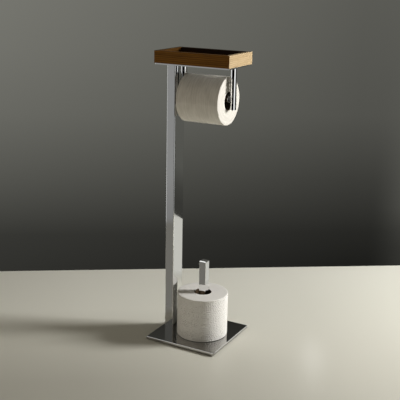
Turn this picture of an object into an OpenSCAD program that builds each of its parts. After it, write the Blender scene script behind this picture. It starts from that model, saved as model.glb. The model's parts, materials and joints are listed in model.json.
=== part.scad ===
// Free-standing toilet roll stand with a wooden tray on top, a sprung roller that
// carries the roll in use, and a square spindle that keeps a spare roll on the base.
// Units are millimetres, +Z is up, and +X runs along the tray's long side.
// The origin is on the floor, under the middle of the base plate.

/* [Base plate] */
// Distance that the square base plate reaches past the arm at the right
base_margin = 6.5; // [3:0.5:40]
// Thickness of the base plate
base_t = 6; // [5:0.5:10]
// Radius of the plate's four upright corners
base_corner_r = 1.5; // [0.5:0.5:6]
// Bevel along the plate's top and bottom edges
base_bevel = 0.6; // [0.2:0.1:1.5]

/* [Rubber feet] */
// Diameter of each rubber foot
foot_d = 18; // [12:1:24]
// Thickness of each rubber foot
foot_t = 2; // [1.5:0.5:4]
// Depth of the round recess that locates a foot
foot_recess = 0.5; // [0.3:0.1:1]
// Distance from the plate's side to the middle of a foot
foot_inset = 16; // [13:1:30]

/* [Post] */
// Width of the post along X
post_w = 20; // [16:1:25]
// Depth of the post along Y
post_d = 40; // [36:1:60]
// Height of the post, from the base plate to the tray's plate
post_h = 588; // [450:1:700]
// Wall of the post's tube
post_wall = 1.5; // [1:0.1:2]
// Outer corner radius of the post's tube
post_corner_r = 1.5; // [0.8:0.1:3]
// Distance from the base plate's left side to the post
post_inset = 9.5; // [6:0.5:12]
// Height of the threaded block in each end of the post
block_h = 18; // [14:1:40]
// Distance from the post's narrow sides to the screws in its ends
post_screw_inset = 10; // [7:0.5:11]

/* [Spindle for the spare roll] */
// Side of the square spindle
spindle_side = 16; // [12:1:20]
// Height of the spindle above the base plate
spindle_h = 168.4; // [120:0.2:220]
// Wall of the spindle's tube
spindle_wall = 1.2; // [0.8:0.1:2]
// Outer corner radius of the spindle
spindle_corner_r = 0.8; // [0.4:0.1:2]
// Visible height of the cap on the spindle
cap_h = 3; // [2:0.5:6]
// Bevel round the top of the cap
cap_bevel = 1.6; // [0.6:0.1:1.9]

/* [Wooden tray] */
// Distance that the tray stands out past the base plate at each end
tray_overhang = 2; // [0:0.5:15]
// Depth of the tray along Y
tray_d = 104; // [90:1:140]
// Height of the tray's rails
tray_h = 25; // [18:1:40]
// Thickness of the rails
rail_t = 9; // [7:0.5:12]
// Thickness of the tray's floor panel
floor_t = 8; // [6:0.5:9]
// Width of the step in the rails that holds the floor panel's tongue
rebate_w = 4; // [2:0.5:6]
// Thickness of the tongue round the floor panel
tongue_t = 5; // [3:0.5:5.5]
// Joint between the floor panel's raised middle and the rails
panel_gap = 0.2; // [0.1:0.05:0.5]
// Bevel along the rails' edges
wood_bevel = 0.5; // [0.2:0.1:1.2]

/* [Plate under the tray] */
// Thickness of the plate
plate_t = 2.5; // [2.3:0.1:5]
// Distance that the plate's edge stands back from the tray's sides
plate_inset = 0.8; // [0.4:0.1:4]
// Corner radius of the plate
plate_corner_r = 1.5; // [0.5:0.5:6]
// Distance from the tray's sides to the middle of a wood screw
wood_screw_inset = 18; // [14:1:20]

/* [Arms] */
// Diameter of the two round arms
arm_d = 14; // [12:0.5:16]
// Clearance between the post and the arm beside it
post_arm_gap = 2; // [1:0.5:6]
// Clearance between a roll and the arm at each end of it
roll_side_gap = 2.2; // [1.2:0.1:4]
// Distance from the plate down to the roller's axis
arm_drop = 62.4; // [58:0.2:80]
// Length of an arm below the roller's axis
arm_tail = 23.6; // [12:0.2:30]
// Bevel round an arm's lower end
arm_bevel = 0.8; // [0.3:0.1:2]

/* [Sprung roller] */
// Outer diameter of the roller's sleeve
sleeve_d = 22; // [20:0.5:26]
// Wall of the sleeve
sleeve_wall = 1.2; // [1:0.1:1.6]
// Length of the sleeve
sleeve_l = 62; // [56:1:68]
// Wall of the collar that guides the plunger in the sleeve's mouth
collar_wall = 0.8; // [0.6:0.1:1.5]
// Wall of the plunger tube
plunger_wall = 1; // [0.8:0.1:1.5]
// Length of plunger tube inside the sleeve
plunger_overlap = 22; // [18:1:26]
// Diameter of the pins at the roller's two ends
pin_d = 7; // [5:0.2:8]
// Radial running clearance of a pin, and of the sliding tubes
running_gap = 0.06; // [0.03:0.01:0.09]
// Clearance between each end of the roller and its arm
shoulder_gap = 0.25; // [0.15:0.05:0.4]
// Travel of the plunger into the sleeve, which draws its pin out of the arm
plunger_travel = 7; // [6:0.2:8]
// Wire diameter of the spring
wire_d = 1; // [0.7:0.1:1.2]
// Mean diameter of the spring
spring_d = 12; // [10:0.5:13]
// Number of turns in the spring
spring_turns = 9; // [6:1:11]

/* [Paper rolls] */
// Width of both rolls
roll_w = 95.6; // [90:0.2:96]
// Diameter of the roll on the roller
used_roll_d = 98.8; // [60:0.2:108]
// Diameter of the spare roll
spare_roll_d = 110.6; // [80:0.2:114]
// Distance that the loose spare roll stands off the spindle's middle, towards the post
spare_roll_off = 2; // [0:0.2:3]
// Bore of the cardboard core
core_bore = 36; // [34:0.5:44]
// Wall of the cardboard core
core_wall = 1; // [0.6:0.1:1.6]
// Rounding of the paper's edges
paper_round = 1.4; // [0.4:0.1:3]
// Gap under and over a resting roll
rest_gap = 0.25; // [0.1:0.05:0.4]

/* [Screws] */
// Thread diameter of the screws in the base plate
base_screw_d = 6; // [5:0.5:6.5]
// Thread diameter of the screws in the plate under the tray
plate_screw_d = 4; // [3:0.5:4]
// Diameter of the wood screws
wood_screw_d = 3.5; // [3:0.5:4]

/* [Hidden] */

$fn = 64;

// Length by which a cutting shape reaches past the surface that it cuts
past = 2;

// Colours of the materials
chrome = [0.80, 0.81, 0.82];
steel = [0.62, 0.63, 0.64];
nylon = [0.90, 0.90, 0.86];
wood = [0.45, 0.28, 0.13];
wood_end = [0.62, 0.45, 0.26];
rubber = [0.08, 0.08, 0.08];
paper = [0.95, 0.94, 0.91];
cardboard = [0.62, 0.50, 0.36];

// Heights of the stack, from the floor up
base_z = foot_t - foot_recess;
base_top = base_z + base_t;
plate_z = base_top + post_h;
tray_z = plate_z + plate_t;

// Row of pieces along X: the post, the left arm, the roll, the right arm
arm_gap = roll_w + 2 * roll_side_gap;
base_side = post_inset + post_w + post_arm_gap + arm_d + arm_gap + arm_d + base_margin;
post_x = -base_side / 2 + post_inset + post_w / 2;
left_arm_x = post_x + post_w / 2 + post_arm_gap + arm_d / 2;
roll_x = left_arm_x + arm_d / 2 + arm_gap / 2;
right_arm_x = roll_x + arm_gap / 2 + arm_d / 2;
tray_l = base_side + 2 * tray_overhang;

// Roller, whose axis runs along X
roller_z = plate_z - arm_drop;
roller_l = arm_gap - 2 * shoulder_gap;
roller_x0 = roll_x - roller_l / 2;
roller_x1 = roll_x + roller_l / 2;
sleeve_x1 = roller_x0 + sleeve_l;
sleeve_bore = sleeve_d - 2 * sleeve_wall;
plunger_d = sleeve_bore - 2 * collar_wall;
plunger_bore = plunger_d - 2 * plunger_wall;
plunger_x0 = sleeve_x1 - plunger_overlap;
end_cap_t = 2;
spigot_l = 6;
collar_l = 7.5;
collar_sunk = 0.5;
bush_l = 10;
bush_flange = 4;
bush_bore = 5;
pin_bevel = 0.6;
pin_free_gap = 2;
pin_reach = plunger_travel - pin_free_gap;
socket_d = pin_d + 2 * running_gap;
socket_spare = 1.5;
socket_depth = pin_reach + socket_spare;
tube_edge = 0.4;

// Spring between the left cap's spigot and the guide bush
spring_x0 = roller_x0 + end_cap_t + spigot_l;
spring_x1 = plunger_x0 - bush_flange;
end_pitch_share = 0.5;
spring_steps = 12;
wire_sides = 6;

// Rolls: the one in use hangs from the roller by the top of its core
core_d = core_bore + 2 * core_wall;
used_roll_z = roller_z - core_bore / 2 + sleeve_d / 2 + rest_gap;
spare_roll_x = roll_x - spare_roll_off;
spare_roll_z = base_top + rest_gap;

// Least corner radius inside a tube
least_corner_r = 0.3;

// Screws
head_h_share = 0.55;
tap_gap = 0.05;
tap_spare = 1;
base_screw_l = 16;
plate_screw_l = 12;
wood_cover = 1.5;
wood_screw_l = plate_t + floor_t - wood_cover;
screw_places_post = [for (s = [-1, 1]) [post_x, s * (post_d / 2 - post_screw_inset)]];
screw_places_arms = [[left_arm_x, 0], [right_arm_x, 0]];
screw_places_wood = [for (sx = [-1, 1], sy = [-1, 1])
    [sx * (tray_l / 2 - wood_screw_inset), sy * (tray_d / 2 - wood_screw_inset)]];
foot_places = [for (sx = [-1, 1], sy = [-1, 1])
    [sx * (base_side / 2 - foot_inset), sy * (base_side / 2 - foot_inset)]];

// Flat shapes that several pieces share

module rounded_rect(size, r) {
    hx = size[0] / 2 - r;
    hy = size[1] / 2 - r;
    union() {
        square([size[0], 2 * hy], center = true);
        square([2 * hx, size[1]], center = true);
        for (sx = [-1, 1], sy = [-1, 1]) translate([sx * hx, sy * hy]) circle(r);
    }
}

// Side view of a bar of width w and height h with bevelled edges, standing on y = 0
module bevelled_side(w, h, low, high) {
    polygon([[-w / 2 + low, 0], [w / 2 - low, 0], [w / 2, low], [w / 2, h - high],
        [w / 2 - high, h], [-w / 2 + high, h], [-w / 2, h - high], [-w / 2, low]]);
}

// Block with rounded upright corners and bevelled bottom and top edges, standing on z = 0
module eased_block(size, r, low, high) {
    intersection() {
        linear_extrude(size[2]) rounded_rect([size[0], size[1]], r);
        rotate([90, 0, 0]) linear_extrude(size[1] + past, center = true)
            bevelled_side(size[0], size[2], low, high);
        rotate([90, 0, 90]) linear_extrude(size[0] + past, center = true)
            bevelled_side(size[1], size[2], low, high);
    }
}

function inner_corner_r(r, wall) = max(r - wall, least_corner_r);

// Rectangular tube standing on z = 0
module box_tube(size, wall, r) {
    inner_r = inner_corner_r(r, wall);
    difference() {
        linear_extrude(size[2]) rounded_rect([size[0], size[1]], r);
        translate([0, 0, -past]) linear_extrude(size[2] + 2 * past)
            rounded_rect([size[0] - 2 * wall, size[1] - 2 * wall], inner_r);
    }
}

// Bar along +X from x0 to x1, turned about the roller's axis, from a list of [x, radius]
module turned_on_roller(profile) {
    last = len(profile) - 1;
    translate([0, 0, roller_z]) rotate([0, 90, 0]) rotate_extrude()
        polygon(concat([[0, profile[0][0]]], [for (p = profile) [p[1], p[0]]], [[0, profile[last][0]]]));
}

module roller_bore(x0, x1, d) {
    translate([x0, 0, roller_z]) rotate([0, 90, 0]) cylinder(d = d, h = x1 - x0);
}

// Countersunk screw with its head's flat top at z = 0, pointing down; its head is 2 d wide
module countersunk_screw(d, l) {
    head_h = head_h_share * d;
    rotate_extrude() polygon([[0, 0], [d, 0], [d / 2, -head_h], [d / 2, -l + d / 4], [d / 4, -l], [0, -l]]);
}

// Hole for that screw: a clearance hole with a matching countersink
module countersunk_hole(d, depth) {
    head_h = head_h_share * d;
    rotate_extrude() polygon([[0, past], [d + tap_gap, past], [d + tap_gap, 0],
        [d / 2 + tap_gap, -head_h], [d / 2 + tap_gap, -depth], [0, -depth]]);
}

// Hole down from z = 0 for the length of screw that reaches into it
module tapped_hole(d, reach) {
    depth = reach + tap_spare;
    translate([0, 0, -depth]) cylinder(d = d + 2 * tap_gap, h = depth + past);
}

// Base

module base_plate() {
    color(chrome) difference() {
        translate([0, 0, base_z])
            eased_block([base_side, base_side, base_t], base_corner_r, base_bevel, base_bevel);
        for (p = foot_places) translate([p[0], p[1], base_z - past])
            cylinder(d = foot_d + 2 * tap_gap, h = foot_recess + past);
        for (p = screw_places_post) translate([p[0], p[1], base_z]) mirror([0, 0, 1])
            countersunk_hole(base_screw_d, base_t + past);
        translate([roll_x, 0, base_z]) mirror([0, 0, 1]) countersunk_hole(base_screw_d, base_t + past);
    }
}

module rubber_feet() {
    edge = 0.4;
    color(rubber) for (p = foot_places) translate([p[0], p[1], 0]) rotate_extrude()
        polygon([[0, 0], [foot_d / 2 - edge, 0], [foot_d / 2, edge], [foot_d / 2, foot_t], [0, foot_t]]);
}

// Post: a rectangular tube with a threaded block pressed into each end

module post_tube() {
    color(chrome) translate([post_x, 0, base_top])
        box_tube([post_w, post_d, post_h], post_wall, post_corner_r);
}

module post_block(z, screw_d, reach, from_top) {
    bottom = from_top ? z - block_h : z;
    inner = [post_w - 2 * post_wall, post_d - 2 * post_wall];
    color(steel) difference() {
        translate([post_x, 0, bottom]) linear_extrude(block_h)
            rounded_rect(inner, inner_corner_r(post_corner_r, post_wall));
        for (p = screw_places_post) translate([p[0], p[1], z])
            mirror([0, 0, from_top ? 0 : 1]) tapped_hole(screw_d, reach);
    }
}

module post_lower_block() {
    post_block(base_top, base_screw_d, base_screw_l - base_t, false);
}

module post_upper_block() {
    post_block(plate_z, plate_screw_d, plate_screw_l - plate_t, true);
}

module post_base_screws() {
    color(steel) for (p = screw_places_post) translate([p[0], p[1], base_z])
        mirror([0, 0, 1]) countersunk_screw(base_screw_d, base_screw_l);
}

module post_tray_screws() {
    color(steel) for (p = screw_places_post) translate([p[0], p[1], tray_z])
        countersunk_screw(plate_screw_d, plate_screw_l);
}

// Spindle: a square tube with a threaded block at its foot and a bevelled cap

module spindle_tube() {
    color(chrome) translate([roll_x, 0, base_top])
        box_tube([spindle_side, spindle_side, spindle_h - cap_h], spindle_wall, spindle_corner_r);
}

module spindle_filling(h) {
    inner = spindle_side - 2 * spindle_wall;
    linear_extrude(h) rounded_rect([inner, inner], inner_corner_r(spindle_corner_r, spindle_wall));
}

module spindle_block() {
    color(steel) translate([roll_x, 0, base_top]) difference() {
        spindle_filling(block_h);
        mirror([0, 0, 1]) tapped_hole(base_screw_d, base_screw_l - base_t);
    }
}

module spindle_cap() {
    spigot_h = 8;
    cap_z = base_top + spindle_h - cap_h;
    color(chrome) translate([roll_x, 0, cap_z]) union() {
        eased_block([spindle_side, spindle_side, cap_h], spindle_corner_r, 0, cap_bevel);
        translate([0, 0, -spigot_h]) spindle_filling(spigot_h + cap_h / 2);
    }
}

module spindle_screw() {
    color(steel) translate([roll_x, 0, base_z]) mirror([0, 0, 1])
        countersunk_screw(base_screw_d, base_screw_l);
}

// Plate under the tray, which carries the arms

module tray_plate() {
    color(chrome) difference() {
        translate([0, 0, plate_z]) linear_extrude(plate_t)
            rounded_rect([tray_l - 2 * plate_inset, tray_d - 2 * plate_inset], plate_corner_r);
        for (p = concat(screw_places_post, screw_places_arms)) translate([p[0], p[1], tray_z])
            countersunk_hole(plate_screw_d, plate_t + past);
        for (p = screw_places_wood) translate([p[0], p[1], plate_z]) mirror([0, 0, 1])
            countersunk_hole(wood_screw_d, plate_t + past);
    }
}

// An arm is a round bar with a blind socket that faces the roller
module arm(x, facing) {
    bottom = roller_z - arm_tail;
    r = arm_d / 2;
    color(chrome) difference() {
        translate([x, 0, 0]) rotate_extrude() polygon([[0, bottom], [r - arm_bevel, bottom],
            [r, bottom + arm_bevel], [r, plate_z], [0, plate_z]]);
        translate([x + facing * r, 0, roller_z]) rotate([0, -90 * facing, 0])
            translate([0, 0, -past]) cylinder(d = socket_d, h = socket_depth + past);
        translate([x, 0, plate_z]) tapped_hole(plate_screw_d, plate_screw_l - plate_t);
    }
}

module left_arm() {
    arm(left_arm_x, 1);
}

module right_arm() {
    arm(right_arm_x, -1);
}

module arm_screws() {
    color(steel) for (p = screw_places_arms) translate([p[0], p[1], tray_z])
        countersunk_screw(plate_screw_d, plate_screw_l);
}

module tray_wood_screws() {
    color(steel) for (p = screw_places_wood) translate([p[0], p[1], plate_z])
        mirror([0, 0, 1]) countersunk_screw(wood_screw_d, wood_screw_l);
}

// Tray: four mitred rails round a floor panel, whose tongue sits in their rebate

module tray_pocket_side(w) {
    b = wood_bevel;
    polygon([[-w / 2, 0], [w / 2, 0], [w / 2, tray_h - b], [w / 2 + b + past, tray_h + past],
        [-w / 2 - b - past, tray_h + past], [-w / 2, tray_h - b]]);
}

module tray_frame() {
    in_l = tray_l - 2 * rail_t;
    in_d = tray_d - 2 * rail_t;
    translate([0, 0, tray_z]) difference() {
        eased_block([tray_l, tray_d, tray_h], wood_bevel, wood_bevel, wood_bevel);
        intersection() {
            rotate([90, 0, 0]) linear_extrude(tray_d, center = true) tray_pocket_side(in_l);
            rotate([90, 0, 90]) linear_extrude(tray_l, center = true) tray_pocket_side(in_d);
        }
        translate([-in_l / 2 - rebate_w, -in_d / 2 - rebate_w, -past])
            cube([in_l + 2 * rebate_w, in_d + 2 * rebate_w, tongue_t + past]);
    }
}

// One rail, cut out of the frame by two mitres at 45 degrees; turn 0 is the front
module tray_rail(turn, along, across) {
    half = along / 2;
    deep = across / 2;
    cut = rail_t + past;
    intersection() {
        tray_frame();
        translate([0, 0, tray_z - past]) rotate([0, 0, turn]) linear_extrude(tray_h + 2 * past)
            polygon([[-half - past, -deep - past], [half + past, -deep - past],
                [half - cut, -deep + cut], [-half + cut, -deep + cut]]);
    }
}

module tray_front_rail() {
    color(wood) tray_rail(0, tray_l, tray_d);
}

module tray_back_rail() {
    color(wood) tray_rail(180, tray_l, tray_d);
}

module tray_left_rail() {
    color(wood_end) tray_rail(-90, tray_d, tray_l);
}

module tray_right_rail() {
    color(wood_end) tray_rail(90, tray_d, tray_l);
}

module tray_floor_panel() {
    inside = [tray_l - 2 * rail_t, tray_d - 2 * rail_t];
    tongue = [inside[0] + 2 * rebate_w, inside[1] + 2 * rebate_w];
    middle = [inside[0] - 2 * panel_gap, inside[1] - 2 * panel_gap];
    color(wood) difference() {
        translate([0, 0, tray_z]) union() {
            linear_extrude(tongue_t) square(tongue, center = true);
            linear_extrude(floor_t) square(middle, center = true);
        }
        for (p = screw_places_wood) translate([p[0], p[1], tray_z])
            mirror([0, 0, 1]) tapped_hole(wood_screw_d, wood_screw_l - plate_t);
    }
}

// Roller: a sleeve and a plunger tube, pushed apart by a spring between them

module roller_sleeve() {
    color(chrome) difference() {
        turned_on_roller([[roller_x0 + end_cap_t, sleeve_d / 2], [sleeve_x1 - tube_edge, sleeve_d / 2],
            [sleeve_x1, sleeve_d / 2 - tube_edge]]);
        roller_bore(roller_x0, sleeve_x1 + past, sleeve_bore);
    }
}

module roller_left_cap() {
    tip = roller_x0 - shoulder_gap - pin_reach;
    color(chrome) turned_on_roller([[tip, pin_d / 2 - pin_bevel], [tip + pin_bevel, pin_d / 2],
        [roller_x0, pin_d / 2], [roller_x0, sleeve_d / 2 - pin_bevel], [roller_x0 + pin_bevel, sleeve_d / 2],
        [roller_x0 + end_cap_t, sleeve_d / 2], [roller_x0 + end_cap_t, sleeve_bore / 2],
        [spring_x0, sleeve_bore / 2]]);
}

// The collar closes the sleeve's mouth and guides the plunger
module roller_collar() {
    collar_x1 = sleeve_x1 - collar_sunk;
    color(nylon) difference() {
        roller_bore(collar_x1 - collar_l, collar_x1, sleeve_bore);
        roller_bore(collar_x1 - collar_l - past, collar_x1 + past, plunger_d + 2 * running_gap);
    }
}

module roller_plunger() {
    color(chrome) difference() {
        roller_bore(plunger_x0, roller_x1 - end_cap_t, plunger_d);
        roller_bore(plunger_x0 - past, roller_x1, plunger_bore);
    }
}

// The bush rides in the sleeve, and its flange can't pass the collar
module roller_guide_bush() {
    color(nylon) difference() {
        turned_on_roller([[plunger_x0 - bush_flange, sleeve_bore / 2 - running_gap],
            [plunger_x0, sleeve_bore / 2 - running_gap], [plunger_x0, plunger_bore / 2],
            [plunger_x0 - bush_flange + bush_l, plunger_bore / 2]]);
        roller_bore(plunger_x0 - bush_flange - past, plunger_x0 + bush_l, bush_bore);
    }
}

module roller_right_cap() {
    tip = roller_x1 + shoulder_gap + pin_reach;
    inner = roller_x1 - end_cap_t;
    color(chrome) turned_on_roller([[inner - spigot_l, plunger_bore / 2], [inner, plunger_bore / 2],
        [inner, plunger_d / 2], [roller_x1 - pin_bevel, plunger_d / 2],
        [roller_x1, plunger_d / 2 - pin_bevel], [roller_x1, pin_d / 2],
        [tip - pin_bevel, pin_d / 2], [tip, pin_d / 2 - pin_bevel]]);
}

// Compression spring: one wire swept along a helix, whose first and last turns close up.
// spring_share gives how far along its axis the wire is after share t of its turns.
end_share = 1 / spring_turns;
end_rise = end_pitch_share * end_share;

function spring_share(t) =
    t < end_share ? end_rise * t / end_share
    : t > 1 - end_share ? 1 - end_rise * (1 - t) / end_share
    : end_rise + (t - end_share) * (1 - 2 * end_rise) / (1 - 2 * end_share);

function spring_point(t) = let(a = 360 * spring_turns * t)
    [spring_x0 + wire_d / 2 + (spring_x1 - spring_x0 - wire_d) * spring_share(t),
        spring_d / 2 * cos(a), spring_d / 2 * sin(a)];

spring_rings = spring_turns * spring_steps;
spring_gaps = [for (i = [0:spring_rings - spring_steps])
    norm(spring_point((i + spring_steps) / spring_rings) - spring_point(i / spring_rings)) - wire_d];
echo(least_gap_between_spring_turns = min(spring_gaps));

module roller_spring() {
    rings = spring_rings;
    points = [for (i = [0:rings], j = [0:wire_sides - 1])
        let(t = i / rings, a = 360 * spring_turns * t, b = 360 * j / wire_sides, p = spring_point(t),
            out = wire_d / 2 * cos(b))
        [p[0] + wire_d / 2 * sin(b), p[1] + out * cos(a), p[2] + out * sin(a)]];
    side_faces = [for (i = [0:rings - 1], j = [0:wire_sides - 1])
        let(k = (j + 1) % wire_sides, a = i * wire_sides)
        each [[a + j, a + k, a + wire_sides + k], [a + j, a + wire_sides + k, a + wire_sides + j]]];
    start = [for (j = [1:wire_sides - 2]) [0, j + 1, j]];
    end = [for (j = [1:wire_sides - 2]) let(a = rings * wire_sides) [a, a + j, a + j + 1]];
    color(steel) translate([0, 0, roller_z])
        polyhedron(points = points, faces = concat(side_faces, start, end));
}

// Rolls

// Ring of wound paper round its core, standing on z = 0
module paper_ring(d) {
    r = d / 2;
    e = paper_round;
    rotate_extrude($fn = 96) union() {
        translate([core_d / 2, 0]) square([r - e - core_d / 2, roll_w]);
        translate([core_d / 2, e]) square([r - core_d / 2, roll_w - 2 * e]);
        for (z = [e, roll_w - e]) translate([r - e, z]) circle(e, $fn = 24);
    }
}

module core_tube() {
    inset = 0.4;
    difference() {
        translate([0, 0, inset]) cylinder(d = core_d, h = roll_w - 2 * inset);
        translate([0, 0, -past]) cylinder(d = core_bore, h = roll_w + 2 * past);
    }
}

module lay_on_roller() {
    translate([roll_x - roll_w / 2, 0, used_roll_z]) rotate([0, 90, 0]) children();
}

module used_roll_paper() {
    color(paper) lay_on_roller() paper_ring(used_roll_d);
}

module used_roll_core() {
    color(cardboard) lay_on_roller() core_tube();
}

module spare_roll_paper() {
    color(paper) translate([spare_roll_x, 0, spare_roll_z]) paper_ring(spare_roll_d);
}

module spare_roll_core() {
    color(cardboard) translate([spare_roll_x, 0, spare_roll_z]) core_tube();
}

base_plate();
rubber_feet();
post_tube();
post_lower_block();
post_upper_block();
post_base_screws();
post_tray_screws();
spindle_tube();
spindle_block();
spindle_cap();
spindle_screw();
tray_plate();
left_arm();
right_arm();
arm_screws();
tray_wood_screws();
tray_front_rail();
tray_back_rail();
tray_left_rail();
tray_right_rail();
tray_floor_panel();
roller_sleeve();
roller_left_cap();
roller_collar();
roller_plunger();
roller_guide_bush();
roller_right_cap();
roller_spring();
used_roll_paper();
used_roll_core();
spare_roll_paper();
spare_roll_core();
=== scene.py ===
import json
import math
import random

import bpy
from mathutils import Matrix, Vector


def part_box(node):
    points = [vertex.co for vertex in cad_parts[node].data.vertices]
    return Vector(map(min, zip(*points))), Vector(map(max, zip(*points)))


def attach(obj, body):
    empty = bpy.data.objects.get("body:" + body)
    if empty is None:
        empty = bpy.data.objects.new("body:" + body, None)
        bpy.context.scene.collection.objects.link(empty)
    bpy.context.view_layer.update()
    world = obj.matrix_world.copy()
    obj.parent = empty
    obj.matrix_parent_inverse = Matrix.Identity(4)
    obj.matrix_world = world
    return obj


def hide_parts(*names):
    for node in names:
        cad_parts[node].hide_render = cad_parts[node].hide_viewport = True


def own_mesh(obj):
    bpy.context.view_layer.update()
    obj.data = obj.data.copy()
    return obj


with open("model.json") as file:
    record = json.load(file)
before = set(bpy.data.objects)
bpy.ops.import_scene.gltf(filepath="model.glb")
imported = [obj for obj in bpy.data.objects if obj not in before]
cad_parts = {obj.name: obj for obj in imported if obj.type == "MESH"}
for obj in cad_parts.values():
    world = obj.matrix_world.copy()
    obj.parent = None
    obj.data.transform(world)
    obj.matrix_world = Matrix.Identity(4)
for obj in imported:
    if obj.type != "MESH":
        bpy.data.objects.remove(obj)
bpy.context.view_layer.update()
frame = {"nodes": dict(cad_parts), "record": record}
nodes = frame["nodes"]
print("frame loaded,", len(nodes), "nodes")

# camera

cameraValues = {
    "place": (0.80045, -1.48484, 0.78892),
    "pan": 28.36,           # degrees to the left of straight back
    "tilt": 15.86,          # degrees down
    "roll": 1.17,
    "pixelsAcross": 400,
    "focalPixels": 824.9,
    "sensor": 36.0,
    "clip": (0.05, 50.0),
}


def makeCamera(values):
    pan, tilt, roll = (math.radians(values[k]) for k in ("pan", "tilt", "roll"))
    forward = Vector((-math.sin(pan) * math.cos(tilt), math.cos(pan) * math.cos(tilt), -math.sin(tilt)))
    level = Vector((math.cos(pan), math.sin(pan), 0))
    upright = level.cross(forward)
    right = math.cos(roll) * level + math.sin(roll) * upright
    up = math.cos(roll) * upright - math.sin(roll) * level
    data = bpy.data.cameras.new("photoCamera")
    data.sensor_width = values["sensor"]
    data.lens = values["focalPixels"] / values["pixelsAcross"] * values["sensor"]
    data.clip_start, data.clip_end = values["clip"]
    cam = bpy.data.objects.new("photoCamera", data)
    turn = Matrix((right, up, -forward)).transposed().to_4x4()
    cam.matrix_world = Matrix.Translation(values["place"]) @ turn
    bpy.context.scene.collection.objects.link(cam)
    bpy.context.scene.camera = cam


makeCamera(cameraValues)
print("camera set")

# shader maths: a Wire is one output of a node, a Finish is the node tree of one material or of the world


class Wire:
    def __init__(self, finish, socket):
        self.finish = finish
        self.socket = socket

    def other(self, name):
        return Wire(self.finish, self.socket.node.outputs[name])

    def maths(self, operation, first, second=0.0):
        return self.finish.add("ShaderNodeMath", {"operation": operation}, {0: first, 1: second})

    def larger(self, value):
        return self.maths("MAXIMUM", self, value)

    def fraction(self):
        return self.maths("FRACT", self)

    def __add__(self, value):
        return self.maths("ADD", self, value)

    def __sub__(self, value):
        return self.maths("SUBTRACT", self, value)

    def __mul__(self, value):
        return self.maths("MULTIPLY", self, value)

    def __truediv__(self, value):
        return self.maths("DIVIDE", self, value)

    def __pow__(self, value):
        return self.maths("POWER", self, value)

    def __rsub__(self, value):
        return self.maths("SUBTRACT", value, self)

    def __rtruediv__(self, value):
        return self.maths("DIVIDE", value, self)

    def __rpow__(self, value):
        return self.maths("POWER", value, self)

    __radd__ = __add__
    __rmul__ = __mul__


class Finish:
    def __init__(self, name, kind="materials"):
        self.data = getattr(bpy.data, kind).new(name)
        self.data.use_nodes = True
        self.tree = self.data.node_tree
        self.tree.nodes.clear()

    def add(self, kind, settings=None, sockets=None, output=0):
        node = self.tree.nodes.new(kind)
        for key, value in (settings or {}).items():
            if key == "stops":
                self.setStops(node.color_ramp, value)
            else:
                setattr(node, key, value)
        for key, value in (sockets or {}).items():
            if isinstance(value, Wire):
                self.tree.links.new(value.socket, node.inputs[key])
            else:
                size = getattr(node.inputs[key].default_value, "__len__", None)
                if size and size() == 4 and len(value) == 3:
                    value = (*value, 1)
                node.inputs[key].default_value = value
        return Wire(self, node.outputs[output]) if len(node.outputs) else None

    def setStops(self, ramp, stops):
        while len(ramp.elements) < len(stops):
            ramp.elements.new(1)
        for element, (place, colour) in zip(ramp.elements, stops):
            element.position = place
            element.color = (*colour, 1)

    def place(self, scale=(1, 1, 1), shift=(0, 0, 0)):
        point = self.add("ShaderNodeTexCoord", output="Object")
        return self.add("ShaderNodeMapping", {}, {"Vector": point, "Location": shift, "Scale": scale})

    def split(self, point):
        parts = self.add("ShaderNodeSeparateXYZ", {}, {0: point})
        return parts, parts.other("Y"), parts.other("Z")

    def joined(self, x, y, z=0.0):
        return self.add("ShaderNodeCombineXYZ", {}, {0: x, 1: y, 2: z})

    def heading(self, x, y):
        return x.maths("ARCTAN2", y, x)

    def length(self, x, y):
        return (x * x + y * y) ** 0.5

    def noise(self, point, scale=1.0, detail=2, roughness=0.5):
        return self.add("ShaderNodeTexNoise", {},
                        {"Vector": point, "Scale": scale, "Detail": detail, "Roughness": roughness})

    def noiseOver(self, first, second, scaleFirst, scaleSecond, detail, roughness):
        return self.noise(self.joined(first * scaleFirst, second * scaleSecond), 1, detail, roughness)

    def weighted(self, shares, *wires):
        total = wires[0] * shares[0]
        for share, wire in zip(shares[1:], wires[1:]):
            total = total + wire * share
        return total

    def cells(self, point, scale=1.0, randomness=1.0):
        return self.add("ShaderNodeTexVoronoi", {},
                        {"Vector": point, "Scale": scale, "Randomness": randomness})

    def between(self, value, low, high, toLow=0.0, toHigh=1.0, smooth=False):
        return self.add("ShaderNodeMapRange",
                        {"clamp": True, "interpolation_type": "SMOOTHSTEP" if smooth else "LINEAR"},
                        {"Value": value, "From Min": low, "From Max": high,
                         "To Min": toLow, "To Max": toHigh})

    def ramp(self, value, stops):
        return self.add("ShaderNodeValToRGB", {"stops": stops}, {0: value})

    def mix(self, factor, first, second):
        return self.add("ShaderNodeMix", {"data_type": "RGBA"}, {0: factor, 6: first, 7: second}, output=2)

    def scaled(self, vector, scale):
        return self.add("ShaderNodeVectorMath", {"operation": "SCALE"}, {0: vector, "Scale": scale})

    def bump(self, height, distance):
        return self.add("ShaderNodeBump", {}, {"Height": height, "Distance": distance})

    def principled(self, **sockets):
        named = {key.replace("_", " "): value for key, value in sockets.items()}
        return self.add("ShaderNodeBsdfPrincipled", {}, named)

    def glow(self, colour):
        return self.add("ShaderNodeEmission", {}, {0: colour})

    def blendShaders(self, factor, first, second):
        return self.add("ShaderNodeMixShader", {}, {0: factor, 1: first, 2: second})

    def clearBehind(self, shader):
        behind = self.add("ShaderNodeNewGeometry", output="Backfacing")
        return self.blendShaders(behind, shader, self.add("ShaderNodeBsdfTransparent"))

    def finished(self, shader, kind="Material"):
        self.add("ShaderNodeOutput" + kind, {}, {"Surface": shader})
        return self.data


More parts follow.
